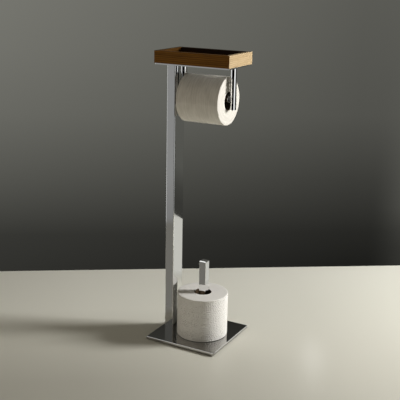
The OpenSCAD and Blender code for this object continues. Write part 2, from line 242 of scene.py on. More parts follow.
# finishes of the metal, rubber and plastic pieces: a noise is given as its scale in waves per metre, its
# detail and its roughness, a pair such as smudged says from where to where in a noise a mark grows from
# none to full, shares weigh what is added up, and relief is in metres

chromeValues = {
    "colour": (0.92, 0.925, 0.93),
    # a dimmed chrome, painted shade: it darkens the roller caps inside the paper core and the base plate's
    # mirror images
    "shadeDimmedColour": (0.45, 0.44, 0.43),
    "roughness": 0.03,
    "wipes": (38, 4, 0.6),
    "wipeStretch": (1, 1, 0.35),
    "smudged": (0.48, 0.75),
    "smudgeRoughness": 0.05,
    "haze": (1200, 2, 0.5),
    "hazeStretch": (1, 1, 0.03),
    "hazeRoughness": 0.008,
}


def chromeFinish(name, colour, values):
    f = Finish(name)
    wipes = f.noise(f.place(values["wipeStretch"]), *values["wipes"])
    smudge = f.between(wipes, *values["smudged"])
    haze = f.noise(f.place(values["hazeStretch"]), *values["haze"])
    rough = values["roughness"] + smudge * values["smudgeRoughness"] + haze * values["hazeRoughness"]
    return f.finished(f.principled(Base_Color=colour, Metallic=1, Roughness=rough))


steelValues = {
    "bright": (0.66, 0.67, 0.68),
    "dull": (0.47, 0.49, 0.51),
    "dullShares": (0.5, 0.5),
    "roughness": 0.27,
    "flakeSize": 0.0011,
    "flakeRoughness": 0.12,
    "stains": (220, 4, 0.6),
    "stained": (0.4, 0.75),
    "stainRoughness": 0.15,
    "latheScale": (40, 40, 2200),
    "latheDetail": 2,
    "relief": 0.00002,
    "reliefShares": (1, 0.3),
}


def steelFinish(values):
    f = Finish("zincedSteel")
    flakes = f.cells(f.place(), 1 / values["flakeSize"]).other("Color")
    flake = f.split(flakes)[0]
    stain = f.between(f.noise(f.place(), *values["stains"]), *values["stained"])
    colour = f.mix(f.weighted(values["dullShares"], flake, stain), values["bright"], values["dull"])
    lathe = f.noise(f.place(values["latheScale"]), 1, values["latheDetail"])
    rough = values["roughness"] + flake * values["flakeRoughness"] + stain * values["stainRoughness"]
    height = f.weighted(values["reliefShares"], lathe, flake)
    return f.finished(f.principled(Base_Color=colour, Metallic=1, Roughness=rough,
                                   Normal=f.bump(height, values["relief"])))


springValues = {
    "colour": (0.42, 0.41, 0.40),
    "oil": (0.19, 0.17, 0.15),
    "oilFilm": (130, 3, 0.5),
    "oiled": (0.45, 0.7),
    "roughness": 0.3,
    "drawn": (900, 3, 0.7),
    "drawnRoughness": 0.2,
    "relief": 0.00002,
}


def springFinish(values):
    f = Finish("springWire")
    drawn = f.noise(f.place(), *values["drawn"])
    oil = f.between(f.noise(f.place(), *values["oilFilm"]), *values["oiled"])
    colour = f.mix(oil, values["colour"], values["oil"])
    rough = values["roughness"] + drawn * values["drawnRoughness"]
    return f.finished(f.principled(Base_Color=colour, Metallic=1, Roughness=rough,
                                   Normal=f.bump(drawn, values["relief"])))


rubberValues = {
    "colour": (0.022, 0.022, 0.023),
    "dust": (0.075, 0.073, 0.068),
    "dustClouds": (160, 4, 0.65),
    "dusty": (0.5, 0.8),
    "mostDust": 0.6,
    "roughness": 0.62,
    "dustRoughness": 0.3,
    "grain": (1400, 3, 0.6),
    "ringPitch": 0.0012,
    "wavesPerScale": 3.14,      # a Wave texture has about this many waves a unit
    "relief": 0.00006,
    "reliefShares": (0.4, 0.3),
}


def rubberFinish(values):
    f = Finish("footRubber")
    grain = f.noise(f.place(), *values["grain"])
    dust = f.noise(f.place(), *values["dustClouds"])
    dust = f.between(dust, *values["dusty"], 0, values["mostDust"])
    ribs = f.add("ShaderNodeTexWave", {"wave_type": "BANDS", "bands_direction": "Z"},
                 {"Vector": f.place(), "Scale": 1 / values["ringPitch"] / values["wavesPerScale"]})
    colour = f.mix(dust, values["colour"], values["dust"])
    rough = values["roughness"] + dust * values["dustRoughness"]
    height = f.weighted(values["reliefShares"], grain, ribs)
    return f.finished(f.principled(Base_Color=colour, Roughness=rough,
                                   Normal=f.bump(height, values["relief"])))


nylonValues = {
    "colour": (0.84, 0.83, 0.79),
    "shade": (0.70, 0.69, 0.64),
    "clouds": (90, 3, 0.5),
    "clouded": (0.35, 0.7),
    "roughness": 0.38,
    "pits": (1800, 2, 0.6),
    "pitRoughness": 0.12,
    "relief": 0.00003,
}


def nylonFinish(values):
    f = Finish("whiteNylon")
    cloud = f.between(f.noise(f.place(), *values["clouds"]), *values["clouded"])
    pits = f.noise(f.place(), *values["pits"])
    colour = f.mix(cloud, values["colour"], values["shade"])
    rough = values["roughness"] + pits * values["pitRoughness"]
    return f.finished(f.principled(Base_Color=colour, Roughness=rough,
                                   Normal=f.bump(pits, values["relief"])))


# tray wood: rings round a heart line beside the plank, fibres and pores along the grain

woodValues = {
    "ringPitch": 0.0031,
    "heart": (0.115, 0.16),      # from the plank's middle, across and down
    "wander": 0.008,
    "lateWood": (0.3, 0.92),     # over this part of a ring the dark wood grows
    "ringEnd": (0.94, 1.0),      # and over this part it ends
    # waves per metre along the grain and across it, detail and roughness
    "wanderGrain": (4, 26, 2, 0.5),
    "fibreGrain": (11, 620, 3, 0.6),
    "figureGrain": (3, 45, 3, 0.5),
    "poreGrain": (55, 2100, 1, 0.5),
    "fibred": (0.35, 0.68),
    "figured": (0.35, 0.65),
    "pored": (0.60, 0.70),
    "toneShares": (0.45, 0.4, 0.3),
    "toneSpan": (0.1, 1.05),
    # one wood in lit and shaded copies: pale is painted light on the key-lit right rail; shaded and deep
    # are painted shade on the left rail's inner wall, the back rail and the panel in the tray's recess
    "brown": ((0.28, 0.118, 0.012), (0.068, 0.026, 0.003)),
    "pale": ((0.60, 0.46, 0.285), (0.44, 0.315, 0.17)),
    "shaded": ((0.10, 0.046, 0.011), (0.034, 0.015, 0.004)),
    "deep": ((0.055, 0.024, 0.007), (0.02, 0.009, 0.003)),
    "poreShade": 0.45,
    "poreTone": 0.35,
    "roughness": 0.46,
    "fibreRoughness": 0.14,
    "gloss": 0.18,
    "relief": 0.00012,
    "reliefShares": (0.5, -0.6, -0.2),
    "spread": 37,                # moves the noise far along, so that no two planks are alike
}

# each rail and the panel: its tones, with their painted light and shade, the axis of its grain, and its own
# place in the log
planks = {
    "tray_front_rail": ("brown", 0, (0.31, 0.052, -0.6105)),
    "tray_back_rail": ("deep", 0, (0.83, -0.046, -0.6105)),
    "tray_left_rail": ("shaded", 1, (0.078, 0.47, -0.6105)),
    "tray_right_rail": ("pale", 1, (-0.081, 0.23, -0.6105)),
    "tray_floor_panel": ("deep", 0, (0.57, 0.012, -0.602)),
}


def woodFinish(name, tones, grain, shift, values):
    f = Finish(name)
    light, dark = values[tones]

    def grained(kind):
        along, across, detail, roughness = values[kind]
        scale = (along, across, across) if grain == 0 else (across, along, across)
        point = f.place(scale, [s * values["spread"] for s in shift])
        return f.noise(point, 1, detail, roughness)

    x, y, z = f.split(f.place(shift=shift))
    side = y if grain == 0 else x
    wander = (grained("wanderGrain") - 0.5) * values["wander"]
    out, down = side + values["heart"][0] + wander, z + values["heart"][1] - wander
    ring = (f.length(out, down) / values["ringPitch"]).fraction()
    late = f.between(ring, *values["lateWood"], smooth=True) * f.between(ring, *values["ringEnd"], 1, 0)
    fibre = grained("fibreGrain")
    figure = f.between(grained("figureGrain"), *values["figured"])
    pore = f.between(grained("poreGrain"), *values["pored"])
    depth = f.weighted(values["toneShares"], late, f.between(fibre, *values["fibred"]), figure)
    colour = f.mix(f.between(depth, *values["toneSpan"]), light, dark)
    poreColour = tuple(c * values["poreTone"] for c in dark)
    colour = f.mix(pore * values["poreShade"], colour, poreColour)
    rough = values["roughness"] + fibre * values["fibreRoughness"]
    height = f.weighted(values["reliefShares"], fibre, pore, late)
    return f.finished(f.principled(Base_Color=colour, Roughness=rough, Specular_IOR_Level=values["gloss"],
                                   Normal=f.bump(height, values["relief"])))


# tissue and cardboard are laid out round the roll's own axis: a noise over two measures is given as its
# waves per unit of each, its detail and its roughness


def aroundAxis(f, centre, axis):
    x, y, z = f.split(f.place(shift=[-c for c in centre]))
    first, second, along = (0 - y, z, x) if axis == 0 else (x, y, z)
    return f.heading(first, second), f.length(first, second), along


tissueValues = {
    "dotPitch": 0.0040,
    "dotDepth": 0.0013,
    "dotScatter": 0.35,
    "dotEdge": (0.12, 0.42),
    "streaks": (1.2, 300, 3, 0.7),     # over the turn and along the roll
    "streaked": (0.3, 0.72),
    "clouds": (42, 42, 2, 0.5),        # round the roll and along it
    "clouded": (0.35, 0.7),
    "crepe": (1300, 420, 3, 0.7),      # round the roll and along it
    # streaks, clouds and dimples; the dimples' share is painted shade in each dimple
    "shadeShares": (0.6, 0.25, 0.15),
    "crepeDepth": 0.00016,
    "ripple": 0.0002,
    "sheetStep": 0.0004,
    "sheetFray": 0.02,
    "sheetEdge": 0.012,
    "underSheet": 0.75,                # the paper before the loose sheet's end is shaded less
    "roughness": 0.92,
    "gloss": 0.2,
    "relief": 1.0,                     # the depths above are in metres already
}


def tissueSideFinish(name, centre, radius, axis, tones, emboss, sheetEnd, values):
    f = Finish(name)
    turn, _, along = aroundAxis(f, centre, axis)
    arc = turn * radius
    streaks = f.noiseOver(turn, along, *values["streaks"])
    cloud = f.noiseOver(arc, along, *values["clouds"])
    crepe = f.noiseOver(arc, along, *values["crepe"])
    dotPlace = f.joined(arc / values["dotPitch"], along / values["dotPitch"])
    dots = f.cells(dotPlace, 1, values["dotScatter"])
    hollow = f.between(dots, *values["dotEdge"], smooth=True)
    loose = f.between(turn + cloud * values["sheetFray"],
                      sheetEnd - values["sheetEdge"], sheetEnd + values["sheetEdge"])
    # the dimples' share darkens the paper inside each dimple: painted shade
    shade = f.weighted(values["shadeShares"], f.between(streaks, *values["streaked"]),
                       f.between(cloud, *values["clouded"]), (1 - hollow) * emboss)
    lift = values["underSheet"] + loose * (1 - values["underSheet"])
    colour = f.mix(shade * lift, tones[0], tones[1])
    height = hollow * (values["dotDepth"] * emboss) + crepe * values["crepeDepth"]
    height = height + streaks * values["ripple"] + loose * values["sheetStep"]
    return f.finished(f.principled(Base_Color=colour, Roughness=values["roughness"],
                                   Specular_IOR_Level=values["gloss"],
                                   Normal=f.bump(height, values["relief"])))


tissueEndValues = {
    "layers": (1500, 0.7, 3, 0.7),     # outwards and over the turn
    "waves": (260, 1.2, 2, 0.5),       # outwards and over the turn
    "lint": (500, 3, 0.6),
    "shaded": (0.35, 0.7),
    "shadeShares": (0.5, 0.35, 0.15),
    "roughness": 0.95,
    "gloss": 0.15,
    "relief": 0.0003,
    "reliefShares": (0.5, 0.4, 0.3),
}


def tissueEndFinish(name, centre, axis, tones, values):
    f = Finish(name)
    turn, distance, _ = aroundAxis(f, centre, axis)
    layers = f.noiseOver(distance, turn, *values["layers"])
    waves = f.noiseOver(distance, turn, *values["waves"])
    lint = f.noise(f.place(), *values["lint"])
    shade = f.weighted(values["shadeShares"], f.between(layers, *values["shaded"]),
                       f.between(waves, *values["shaded"]), lint)
    colour = f.mix(shade, tones[0], tones[1])
    height = f.weighted(values["reliefShares"], layers, waves, lint)
    return f.finished(f.principled(Base_Color=colour, Roughness=values["roughness"],
                                   Specular_IOR_Level=values["gloss"],
                                   Normal=f.bump(height, values["relief"])))


cardValues = {
    # light and dark are made very dark: painted shade inside the roll's core; the seam is a real darker
    # joint
    "light": (0.10, 0.070, 0.044),
    "dark": (0.05, 0.034, 0.021),
    "lead": 0.052,                # the wound strip goes this far along in one turn
    "seam": 0.02,
    "seamShade": 0.7,
    "seamTone": 0.4,
    "flecks": (900, 4, 0.7),
    "ply": (60, 30, 2, 0.5),      # over the strip's turns and along the core
    "fleckShares": (0.6, 0.4),
    "flecked": (0.35, 0.65),
    "roughness": 0.88,
    "gloss": 0.2,
    "relief": 0.00012,
    "reliefShares": (0.5, -1),
}


def cardFinish(name, centre, axis, values):
    f = Finish(name)
    turn, _, along = aroundAxis(f, centre, axis)
    wound = turn / (2 * math.pi) + along / values["lead"]
    seam = f.between(wound.fraction(), 0, values["seam"], 1, 0)
    fleck = f.noise(f.place(), *values["flecks"])
    ply = f.noiseOver(wound, along, *values["ply"])
    mottle = f.between(f.weighted(values["fleckShares"], fleck, ply), *values["flecked"])
    colour = f.mix(mottle, values["light"], values["dark"])
    seamColour = tuple(c * values["seamTone"] for c in values["dark"])
    colour = f.mix(seam * values["seamShade"], colour, seamColour)
    height = f.weighted(values["reliefShares"], fleck, seam)
    return f.finished(f.principled(Base_Color=colour, Roughness=values["roughness"],
                                   Specular_IOR_Level=values["gloss"],
                                   Normal=f.bump(height, values["relief"])))


def middleOf(node):
    low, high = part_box(node)
    return [(a + b) / 2 for a, b in zip(low, high)]


def paint(finish, *names):
    for name in names:
        materials = nodes[name].data.materials
        materials.clear()
        materials.append(finish)


slotFinish = {
    "polished_chrome": chromeFinish("polishedChrome", chromeValues["colour"], chromeValues),
    "plain_steel": steelFinish(steelValues),
    "foot_rubber": rubberFinish(rubberValues),
    "white_nylon": nylonFinish(nylonValues),
    "spring_steel": springFinish(springValues),
}
for part in frame["record"]["subparts"]:
    if part["material_slot"] in slotFinish:
        paint(slotFinish[part["material_slot"]], part["node"])
# the base plate and the roller caps take the dimmed chrome: painted shade inside the core and in the
# plate's mirror images
baseChrome = chromeFinish("baseChrome", chromeValues["shadeDimmedColour"], chromeValues)
paint(baseChrome, "base_plate", "roller_left_cap", "roller_right_cap")
for name, (tones, grain, shift) in planks.items():
    paint(woodFinish("wood_" + name, tones, grain, shift, woodValues), name)
paint(cardFinish("cardUsed", middleOf("used_roll_core"), 0, cardValues), "used_roll_core")
paint(cardFinish("cardSpare", middleOf("spare_roll_core"), 2, cardValues), "spare_roll_core")
print("finishes set")

# modelling helpers

nearly = 1e-5
weldGap = 1e-6


def makeActive(piece):
    bpy.ops.object.select_all(action="DESELECT")
    piece.select_set(True)
    bpy.context.view_layer.objects.active = piece


def applyPlace(piece):
    makeActive(piece)
    bpy.ops.object.transform_apply(location=True, rotation=True, scale=True)


def chooseEdges(piece, wanted):
    bpy.ops.mesh.select_all(action="DESELECT")
    bpy.ops.object.mode_set(mode="OBJECT")
    vertices = piece.data.vertices
    for edge in piece.data.edges:
        edge.select = wanted(*(vertices[v].co for v in edge.vertices))
    bpy.ops.object.mode_set(mode="EDIT")


def chooseVertices(piece, wanted):
    bpy.ops.mesh.select_all(action="DESELECT")
    bpy.ops.object.mode_set(mode="OBJECT")
    for vertex in piece.data.vertices:
        vertex.select = wanted(vertex.co)
    bpy.ops.object.mode_set(mode="EDIT")


def weld():
    bpy.ops.mesh.select_all(action="SELECT")
    bpy.ops.mesh.remove_doubles(threshold=weldGap)
    bpy.ops.mesh.normals_make_consistent(inside=False)


# paper rolls: each is spun from its half section, and stands for the plain solid of the CAD model

paperValues = {
    "coreRadius": 0.019,
    "edgeRound": 0.0014,
    "edgeSteps": 3,
    "windings": 9,            # ridges of wound paper on each end
    "windingDepth": 0.00018,
    # the mesh is cut into cells round the roll and along it, and into cellSteps across each cell
    "cells": {"usedRoll": (30, 6), "spareRoll": (66, 20)},
    "cellSteps": 4,
    # each cell of embossed paper has a dimple up to this deep, and a smooth roll has none
    "dimpleDepth": {"usedRoll": 0.0, "spareRoll": 0.0009},
    "dimpleShares": (0.55, 0.8, 1.0),     # a dimple has one of these shares of the full depth
    "dimpleSlope": 0.55,                  # depth beside a dimple's middle, as a share of its depth there
    "tones": {"usedRoll": ((0.95, 0.92, 0.87), (0.62, 0.59, 0.535)),
              "spareRoll": ((0.93, 0.92, 0.895), (0.86, 0.84, 0.81))},
    "endShade": 0.9,          # the cut ends of the paper are a little darker than its face: painted shade between the wound layers
    "emboss": {"usedRoll": 0.12, "spareRoll": 0.8},
    "sheetEnd": {"usedRoll": -0.07, "spareRoll": 2.4},
    "endFacing": 0.8,         # a face whose normal is more along the axis than this belongs to an end
    "smoothAngle": math.radians(40),
}


# half section from the core out to the rounded rim, with ridges on its two ends
def rollSection(name, radius, width, along, values):
    core, rounding = values["coreRadius"], values["edgeRound"]
    bpy.ops.object.select_all(action="DESELECT")
    bpy.ops.mesh.primitive_plane_add(size=1, location=((core + radius) / 2, 0, 0),
                                     rotation=(math.pi / 2, 0, 0))
    piece = bpy.context.object
    piece.name = piece.data.name = name
    piece.scale = (radius - core, width, 1)
    applyPlace(piece)
    bpy.ops.object.mode_set(mode="EDIT")
    bpy.ops.mesh.select_mode(type="VERT")
    chooseVertices(piece, lambda co: co.x > radius - nearly)
    bpy.ops.mesh.bevel(offset=rounding, segments=values["edgeSteps"], affect="VERTICES")
    bpy.ops.mesh.select_all(action="SELECT")
    bpy.ops.mesh.delete(type="ONLY_FACE")
    bpy.ops.mesh.select_mode(type="EDGE")
    span = radius - rounding - core
    chooseEdges(piece, lambda a, b: abs(a.x - b.x) > span / 2)
    bpy.ops.mesh.subdivide(number_cuts=2 * values["windings"] - 1)
    chooseEdges(piece, lambda a, b: min(a.x, b.x) > radius - nearly and abs(a.z - b.z) > width / 2)
    bpy.ops.mesh.subdivide(number_cuts=along * values["cellSteps"] - 1)
    bpy.ops.mesh.select_mode(type="VERT")
    step = span / (2 * values["windings"])

    def inGroove(co, side):
        return co.z * side > width / 2 - nearly and round((co.x - core) / step) % 2 == 1

    for side in (-1, 1):
        chooseVertices(piece, lambda co: inGroove(co, side))
        bpy.ops.transform.translate(value=(0, 0, -side * values["windingDepth"]))
    return piece


# presses a dimple into each cell of the roll's face, every second row half a cell further round
def pressDimples(piece, radius, straight, around, along, depth, values):
    steps = values["cellSteps"]
    middle = steps // 2
    chance = random.Random(piece.name)
    depths = {(i, j): chance.choice(values["dimpleShares"]) for i in range(around) for j in range(along)}

    def share(co):
        if co.xy.length < radius - nearly:
            return 0
        i = round(math.atan2(co.y, co.x) / (2 * math.pi) * around * steps)
        j = round((co.z / straight + 0.5) * along * steps)
        row = j // steps
        i += (row % 2) * middle
        offMiddle = abs(i % steps - middle) + abs(j % steps - middle)
        if row >= along or offMiddle > 1:
            return 0
        return depths[i // steps % around, row] * (1 if offMiddle == 0 else values["dimpleSlope"])

    bpy.ops.object.mode_set(mode="OBJECT")
    shares = [round(share(v.co), 3) for v in piece.data.vertices]
    bpy.ops.object.mode_set(mode="EDIT")
    for level in sorted(set(shares) - {0}):
        bpy.ops.mesh.select_all(action="DESELECT")
        bpy.ops.object.mode_set(mode="OBJECT")
        piece.data.vertices.foreach_set("select", [s == level for s in shares])
        bpy.ops.object.mode_set(mode="EDIT")
        bpy.ops.transform.shrink_fatten(value=-depth * level)


def paperRoll(name, node, body, axis, values):
    low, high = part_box(node)
    centre = middleOf(node)
    width = high[axis] - low[axis]
    radius = (high[1] - low[1]) / 2
    around, along = values["cells"][name]
    piece = rollSection(name, radius, width, along, values)
    bpy.ops.mesh.select_all(action="SELECT")
    bpy.ops.mesh.spin(steps=around * values["cellSteps"], angle=2 * math.pi,
                      center=(0, 0, 0), axis=(0, 0, 1))
    weld()
    depth = values["dimpleDepth"][name]
    if depth:
        pressDimples(piece, radius, width - 2 * values["edgeRound"], around, along, depth, values)
    bpy.ops.object.mode_set(mode="OBJECT")
    for face in piece.data.polygons:
        face.material_index = 1 if abs(face.normal.z) > values["endFacing"] else 0
    if axis == 0:
        piece.rotation_euler = (0, math.pi / 2, 0)
        applyPlace(piece)
    piece.location = centre
    applyPlace(piece)
    bpy.ops.object.shade_smooth_by_angle(angle=values["smoothAngle"])
    tones = values["tones"][name]
    endTones = [tuple(c * values["endShade"] for c in tone) for tone in tones]
    emboss, sheetEnd = values["emboss"][name], values["sheetEnd"][name]
    side = tissueSideFinish(name + "Side", centre, radius, axis, tones, emboss, sheetEnd, tissueValues)
    end = tissueEndFinish(name + "End", centre, axis, endTones, tissueEndValues)
    for finish in (side, end):
        piece.data.materials.append(finish)
    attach(piece, body)
    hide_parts(node)


paperRoll("usedRoll", "used_roll_paper", "used_roll", 0, paperValues)
paperRoll("spareRoll", "spare_roll_paper", "spare_roll", 2, paperValues)
print("paper rolls wound")

# screws whose heads face down: each has a driver's recess in its head and ridges of thread on its shank

hexRecess = {"arms": 0, "sides": 6, "across": 0.0046, "depth": 0.0022}
crossRecess = {"arms": 2, "armWidth": 0.0008, "across": 0.0042, "depth": 0.0013}
woodScrewValues = {"node": "tray_wood_screws", "thread": 0.0035, "pitch": 0.0013, "recess": crossRecess}
baseScrewValues = {"node": "post_base_screws", "thread": 0.006, "pitch": 0.001, "recess": hexRecess}
spindleScrewValues = {"node": "spindle_screw", "thread": 0.006, "pitch": 0.001, "recess": hexRecess}

# what all of them share: the rim is in metres, the head and the tip are shares of the thread's diameter,
# and the root and the taper say how much narrower the shank gets there
screwShape = {
    "headShare": 0.55,
    "rim": 0.00015,
    "rootShare": 0.8,
    "tipShare": 0.25,
    "tipTaper": 0.5,
    "roundSteps": 48,
    "smoothAngle": math.radians(30),
}


def grow(height, ratio):
    bpy.ops.mesh.extrude_region_move(TRANSFORM_OT_translate={"value": (0, 0, height)})
    bpy.ops.transform.resize(value=(ratio, ratio, 1))


def cutOut(piece, cutter):
    cut = piece.modifiers.new("recess", "BOOLEAN")
    cut.operation, cut.solver, cut.object = "DIFFERENCE", "EXACT", cutter
    makeActive(piece)
    bpy.ops.object.modifier_apply(modifier=cut.name)
    bpy.data.objects.remove(cutter, do_unlink=True)


def cutRecess(screw, place, recess):
    width, depth = recess["across"], recess["depth"]
    if recess["arms"] == 0:
        bpy.ops.mesh.primitive_cylinder_add(vertices=recess["sides"], radius=width / 2, depth=2 * depth,
                                            location=place)
        cutOut(screw, bpy.context.object)
    for k in range(recess["arms"]):
        bpy.ops.mesh.primitive_cube_add(size=1, location=place, rotation=(0, 0, math.radians(45 + 90 * k)))
        arm = bpy.context.object
        arm.scale = (width, recess["armWidth"], 2 * depth)
        applyPlace(arm)
        cutOut(screw, arm)


def oneScrew(place, length, values, shape):
    thread, rim = values["thread"], shape["rim"]
    headHeight = shape["headShare"] * thread
    faceRadius = thread - 2 * rim
    underRim = thread - rim * (thread / 2) / headHeight
    bpy.ops.object.select_all(action="DESELECT")
    bpy.ops.mesh.primitive_circle_add(vertices=shape["roundSteps"], radius=faceRadius, fill_type="NGON",
                                      location=place)
    screw = bpy.context.object
    bpy.ops.object.mode_set(mode="EDIT")
    bpy.ops.mesh.select_mode(type="FACE")
    bpy.ops.mesh.select_all(action="SELECT")
    grow(rim, underRim / faceRadius)
    grow(headHeight - rim, thread / 2 / underRim)
    tip = shape["tipShare"] * thread
    threaded = length - headHeight - tip
    ridges = int(threaded / values["pitch"])
    for _ in range(ridges):
        grow(threaded / ridges / 2, shape["rootShare"])
        grow(threaded / ridges / 2, 1 / shape["rootShare"])
    grow(tip, shape["tipTaper"])
    bpy.ops.mesh.select_all(action="SELECT")
    bpy.ops.mesh.normals_make_consistent(inside=False)
    bpy.ops.object.mode_set(mode="OBJECT")
    applyPlace(screw)
    cutRecess(screw, place, values["recess"])
    return screw


# a box that is less than three head radii wide holds one screw across, a wider one holds two
def screwMiddles(low, high, headRadius):
    if high - low < 3 * headRadius:
        return [(low + high) / 2]
    return [low + headRadius, high - headRadius]


def screwSet(name, values, shape):
    low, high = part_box(values["node"])
    alongX, alongY = (screwMiddles(low[k], high[k], values["thread"]) for k in (0, 1))
    screws = [oneScrew((x, y, low[2]), high[2] - low[2], values, shape) for x in alongX for y in alongY]
    piece = screws[0]
    makeActive(piece)
    for screw in screws[1:]:
        screw.select_set(True)
    if len(screws) > 1:
        bpy.ops.object.join()
    piece.name = piece.data.name = name
    bpy.ops.object.shade_smooth_by_angle(angle=shape["smoothAngle"])
    piece.data.materials.clear()
    piece.data.materials.append(slotFinish["plain_steel"])
    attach(piece, "stand")
    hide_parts(values["node"])


screwSet("woodScrews", woodScrewValues, screwShape)
screwSet("baseScrews", baseScrewValues, screwShape)
screwSet("spindleScrew", spindleScrewValues, screwShape)
print("screws turned")

# spring in the roller: one wire along a helix whose first and last turns close up

coilSpringValues = {
    "wire": 0.001,
    "turns": 9,
    "stepsPerTurn": 24,
    "endPitchShare": 0.5,    # pitch of the closed turns as a share of an even pitch
    "travel": 0.007,         # the plunger shortens it by this much
    "smoothAngle": math.radians(40),
}


def coilSpring(values):
    low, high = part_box("roller_spring")
    wire, turns = values["wire"], values["turns"]
    wound = high[0] - low[0]
    coilRadius = (high[1] - low[1] - wire) / 2
    centre = middleOf("roller_spring")
    endShare = 1 / turns
    endRise = values["endPitchShare"] * endShare

    def share(t):
        if t < endShare:
            return endRise * t / endShare
        if t > 1 - endShare:
            return 1 - endRise * (1 - t) / endShare
        return endRise + (t - endShare) * (1 - 2 * endRise) / (1 - 2 * endShare)

    curve = bpy.data.curves.new("coilSpring", "CURVE")
    curve.dimensions, curve.bevel_depth, curve.use_fill_caps = "3D", wire / 2, True
    spline = curve.splines.new("POLY")
    steps = turns * values["stepsPerTurn"]
    spline.points.add(steps)
    for k, point in enumerate(spline.points):
        angle = 2 * math.pi * turns * k / steps
        point.co = (low[0] + wire / 2 + (wound - wire) * share(k / steps), coilRadius * math.cos(angle),
                    centre[2] + coilRadius * math.sin(angle), 1)
    piece = bpy.data.objects.new("coilSpring", curve)
    bpy.context.scene.collection.objects.link(piece)
    makeActive(piece)
    bpy.ops.object.convert(target="MESH")
    piece = bpy.context.object
    bpy.ops.object.mode_set(mode="EDIT")
    weld()
    bpy.ops.object.mode_set(mode="OBJECT")
    bpy.ops.object.shade_smooth_by_angle(angle=values["smoothAngle"])
    piece.data.materials.append(slotFinish["spring_steel"])
    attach(piece, "roller_outer")
    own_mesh(piece)
    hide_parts("roller_spring")


coilSpring(coilSpringValues)
print("spring coiled")

# studio: pale floor with painted shade and reflections, dark wall with painted light graded on it, a soft
# key lamp from the right and a weak fill from the front left

wallValues = {
    "heading": 34.0,        # the wall runs along this heading, in degrees from +X
    "distance": 0.410,
    "size": (9.0, 4.0),
    "roughness": 0.9,
    # painted light and shade, shown as a glow to the camera and in reflections: brightness by height in
    # metres, at its left, at its right and past the view
    "left": ((0.0, 0.031), (0.10, 0.038), (0.25, 0.089), (0.42, 0.141), (0.58, 0.172), (0.75, 0.193),
             (1.0, 0.20)),
    "right": ((0.0, 0.012), (0.10, 0.020), (0.25, 0.046), (0.42, 0.083), (0.58, 0.094), (0.75, 0.105),
              (1.0, 0.11)),
    "beyond": ((0.0, 0.040), (0.05, 0.042), (0.10, 0.055), (0.17, 0.090), (0.30, 0.098), (1.0, 0.11)),
    "tone": (1.0, 1.0, 0.88),
    "span": (-0.55, 0.45),
    "beyondSpan": (0.5, 0.66),
}
keyValues = {
    "heading": 31.0,
    "rise": 21.0,
    "distance": 1.7,
    "size": 0.5,
    "power": 35.5,
    "colour": (1.0, 0.985, 0.95),
}
fillValues = {"place": (-0.7, -1.3, 0.2), "size": 0.8, "power": 3.2, "colour": (1.0, 0.90, 0.74)}
lampAim = (0, 0, 0.3)
floorValues = {
    "size": 12.0,
    "roughness": 0.3,
    "gloss": 0.3,
    # colour from the wall's foot towards the viewer, at the left and at the right: painted light and shade,
    # darker towards the viewer as the lamps' light falls off
    "reach": (-0.35, 0.35),
    "span": (-0.25, 0.28),
    "left": ((0.0, (0.96, 0.955, 0.87)), (0.29, (0.94, 0.935, 0.85)), (0.5, (0.76, 0.75, 0.67)),
             (0.79, (0.55, 0.54, 0.48)), (1.0, (0.50, 0.49, 0.43))),
    "right": ((0.0, (0.80, 0.795, 0.72)), (0.29, (0.75, 0.745, 0.67)), (0.64, (0.70, 0.69, 0.62)),
              (0.79, (0.67, 0.66, 0.59)), (1.0, (0.62, 0.61, 0.545))),
    # painted shade near the key lamp's foot, against the pool of its light: from and to which distance, and
    # by what share
    "keyPoolShade": (0.45, 1.12, 0.36, 1.0),
}

# painted reflections: glossy rays see a glow instead of the lit floor; reaches are in metres from the
# middle of the base plate, headings in degrees from +X, and a group of four headings says from where to
# where a patch comes and where it goes
mirrorValues = {
    # far off: brightness by heading, and from and to which distance it rises by what share
    "farStops": ((-180, 0.9), (-157, 1.0), (-136, 1.1), (-131, 0.215), (-113, 0.215), (-110, 0.0),
                 (-36, 0.0), (-32, 0.85), (2, 0.85), (8, 0.01), (60, 0.03), (90, 0.45)),
    "farReach": (0.82, 0.92),
    "farRise": (0.9, 1.5, 0.95, 1.18),
    "frontReach": (0.13, 0.2),
    "frontHeadings": (-160, -150, -95, -85),
    "frontColour": (0.158, 0.152, 0.134),
    "sideReach": (0.25, 0.35),
    "sideHeadings": (25, 40, 80, 95),
    "sideColour": (0.56, 0.555, 0.505),
}
skyValues = {"colour": (1.0, 0.91, 0.76), "strength": 0.36, "farColour": (0.115, 0.115, 0.105)}

# white cards that only glossy rays see, glowing as painted highlights on the chrome's edges: size, place
# and brightness
cardSheets = {
    "frontCard": ((1.6, 1.2), (-1.35, -1.33, 2.4), 1.1),
    "sideCard": ((0.10, 0.07), (0.192, 0.219, 0.114), 1.6),
}
paperWhite = (1.0, 1.0, 0.98)


def direction(heading, rise=0.0):
    a, e = math.radians(heading), math.radians(rise)
    return Vector((math.cos(a) * math.cos(e), math.sin(a) * math.cos(e), math.sin(e)))


def toned(level, tone):
    return tuple(level * t for t in tone)


def stageSheet(name, size, centre, turn, finish):
    bpy.ops.object.select_all(action="DESELECT")
    bpy.ops.mesh.primitive_plane_add(size=1, location=centre, rotation=turn)
    sheet = bpy.context.object
    sheet.name = sheet.data.name = name
    sheet.scale = (size[0], size[1], 1)
    applyPlace(sheet)
    sheet.data.materials.append(finish)
    return sheet


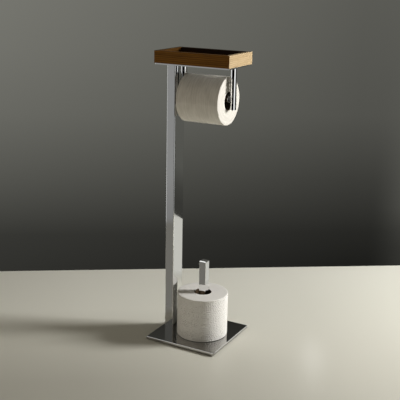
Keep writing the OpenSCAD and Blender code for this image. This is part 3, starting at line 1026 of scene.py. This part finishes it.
# painted reflections: the glow that glossy rays see of the floor
def mirroredFloor(f, x, y, values):
    heading = f.heading(x, y) * (180 / math.pi)
    distance = f.length(x, y)

    def patch(side):
        a, b, c, d = values[side + "Headings"]
        reached = f.between(distance, *values[side + "Reach"], smooth=True)
        return f.between(heading, a, b) * f.between(heading, c, d, 1, 0) * reached

    far = f.between(distance, *values["farReach"], smooth=True)
    front, behind = patch("front"), patch("side")
    stops = [((h + 180) / 360, toned(v, paperWhite)) for h, v in values["farStops"]]
    glare = f.scaled(f.ramp(f.between(heading, -180, 180), stops), f.between(distance, *values["farRise"]))
    near = f.mix(behind, values["frontColour"], values["sideColour"])
    return f.glow(f.mix(far, near, glare)), far.larger(front.larger(behind))


def floorFinish(values):
    f = Finish("paleFloor")
    x, y, _ = f.split(f.place())
    mirrored, shaped = mirroredFloor(f, x, y, mirrorValues)
    along = direction(wallValues["heading"])
    # the floor's colour carries painted shade: darker towards the viewer and near the key lamp's foot
    nearness = f.between(x * along.y - y * along.x, *values["reach"])
    rightness = f.between(x * along.x + y * along.y, *values["span"])
    pale = f.mix(rightness, f.ramp(nearness, values["left"]), f.ramp(nearness, values["right"]))
    foot = direction(keyValues["heading"], keyValues["rise"]) * keyValues["distance"]
    pale = f.scaled(pale, f.between(f.length(x - foot.x, y - foot.y), *values["keyPoolShade"]))
    plain = f.principled(Base_Color=pale, Roughness=values["roughness"], Specular_IOR_Level=values["gloss"])
    # glossy rays meet the painted reflection instead of the floor
    glossy = f.add("ShaderNodeLightPath", output="Is Glossy Ray")
    return f.finished(f.clearBehind(f.blendShaders(glossy * shaped, plain, mirrored)))


def wallFinish(values):
    f = Finish("darkWall")
    along = direction(values["heading"])
    x, y, z = f.split(f.place())
    across = x * along.x + y * along.y
    height = f.between(z, 0, 1)
    left, right, beyond = (f.ramp(height, [(p, toned(v, values["tone"])) for p, v in values[k]])
                           for k in ("left", "right", "beyond"))
    colour = f.mix(f.between(across, *values["span"]), left, right)
    colour = f.mix(f.between(across, *values["beyondSpan"], smooth=True), colour, beyond)
    plain = f.principled(Base_Color=colour, Roughness=values["roughness"])
    # camera and glossy rays see the wall's painted light as a glow
    return f.finished(f.clearBehind(f.blendShaders(cameraOrGlossy(f), plain, f.glow(colour))))


def cameraOrGlossy(f):
    rays = f.add("ShaderNodeLightPath", output="Is Camera Ray")
    return rays.larger(rays.other("Is Glossy Ray"))


def softLamp(name, shape, place, aim, values):
    lamp = bpy.data.lights.new(name, "AREA")
    lamp.shape, lamp.color = shape, values["colour"]
    lamp.size, lamp.energy = values["size"], values["power"]
    light = bpy.data.objects.new(name, lamp)
    light.location = place
    light.rotation_euler = (Vector(place) - aim).to_track_quat("Z", "Y").to_euler()
    light.visible_camera = light.visible_glossy = False
    bpy.context.scene.collection.objects.link(light)


# a glowing card seen only in reflections: a painted highlight
def reflectionCard(name, size, place, level):
    turn = Vector(place).to_track_quat("Z", "Y").to_euler()
    f = Finish(name)
    sheet = stageSheet(name, size, place, turn, f.finished(f.glow(toned(level, paperWhite))))
    for kind in ("camera", "diffuse", "shadow", "transmission", "volume_scatter"):
        setattr(sheet, "visible_" + kind, False)


def studioWorld(values):
    f = Finish("studioWorld", "worlds")
    z = f.split(f.add("ShaderNodeTexCoord", output="Generated"))[2]
    dim = f.add("ShaderNodeBackground", {}, {0: values["colour"], 1: z * z * values["strength"]})
    far = f.add("ShaderNodeBackground", {}, {0: values["farColour"], 1: 1.0})
    bpy.context.scene.world = f.finished(f.blendShaders(cameraOrGlossy(f), dim, far), "World")


def makeStudio():
    stageSheet("floor", (floorValues["size"],) * 2, (0, 0, 0), (0, 0, 0), floorFinish(floorValues))
    along = direction(wallValues["heading"])
    away = Vector((-along.y, along.x, 0))
    centre = away * wallValues["distance"] + Vector((0, 0, wallValues["size"][1] / 2))
    turn = (math.radians(90), 0, math.radians(wallValues["heading"]))
    stageSheet("wall", wallValues["size"], centre, turn, wallFinish(wallValues))
    aim = Vector(lampAim)
    keyPlace = aim + direction(keyValues["heading"], keyValues["rise"]) * keyValues["distance"]
    softLamp("key", "DISK", keyPlace, aim, keyValues)
    softLamp("fill", "SQUARE", fillValues["place"], aim, fillValues)
    for name, (size, place, level) in cardSheets.items():
        reflectionCard(name, size, place, level)
    studioWorld(skyValues)
    bpy.context.scene.view_settings.view_transform = "Standard"


makeStudio()
print("studio made")
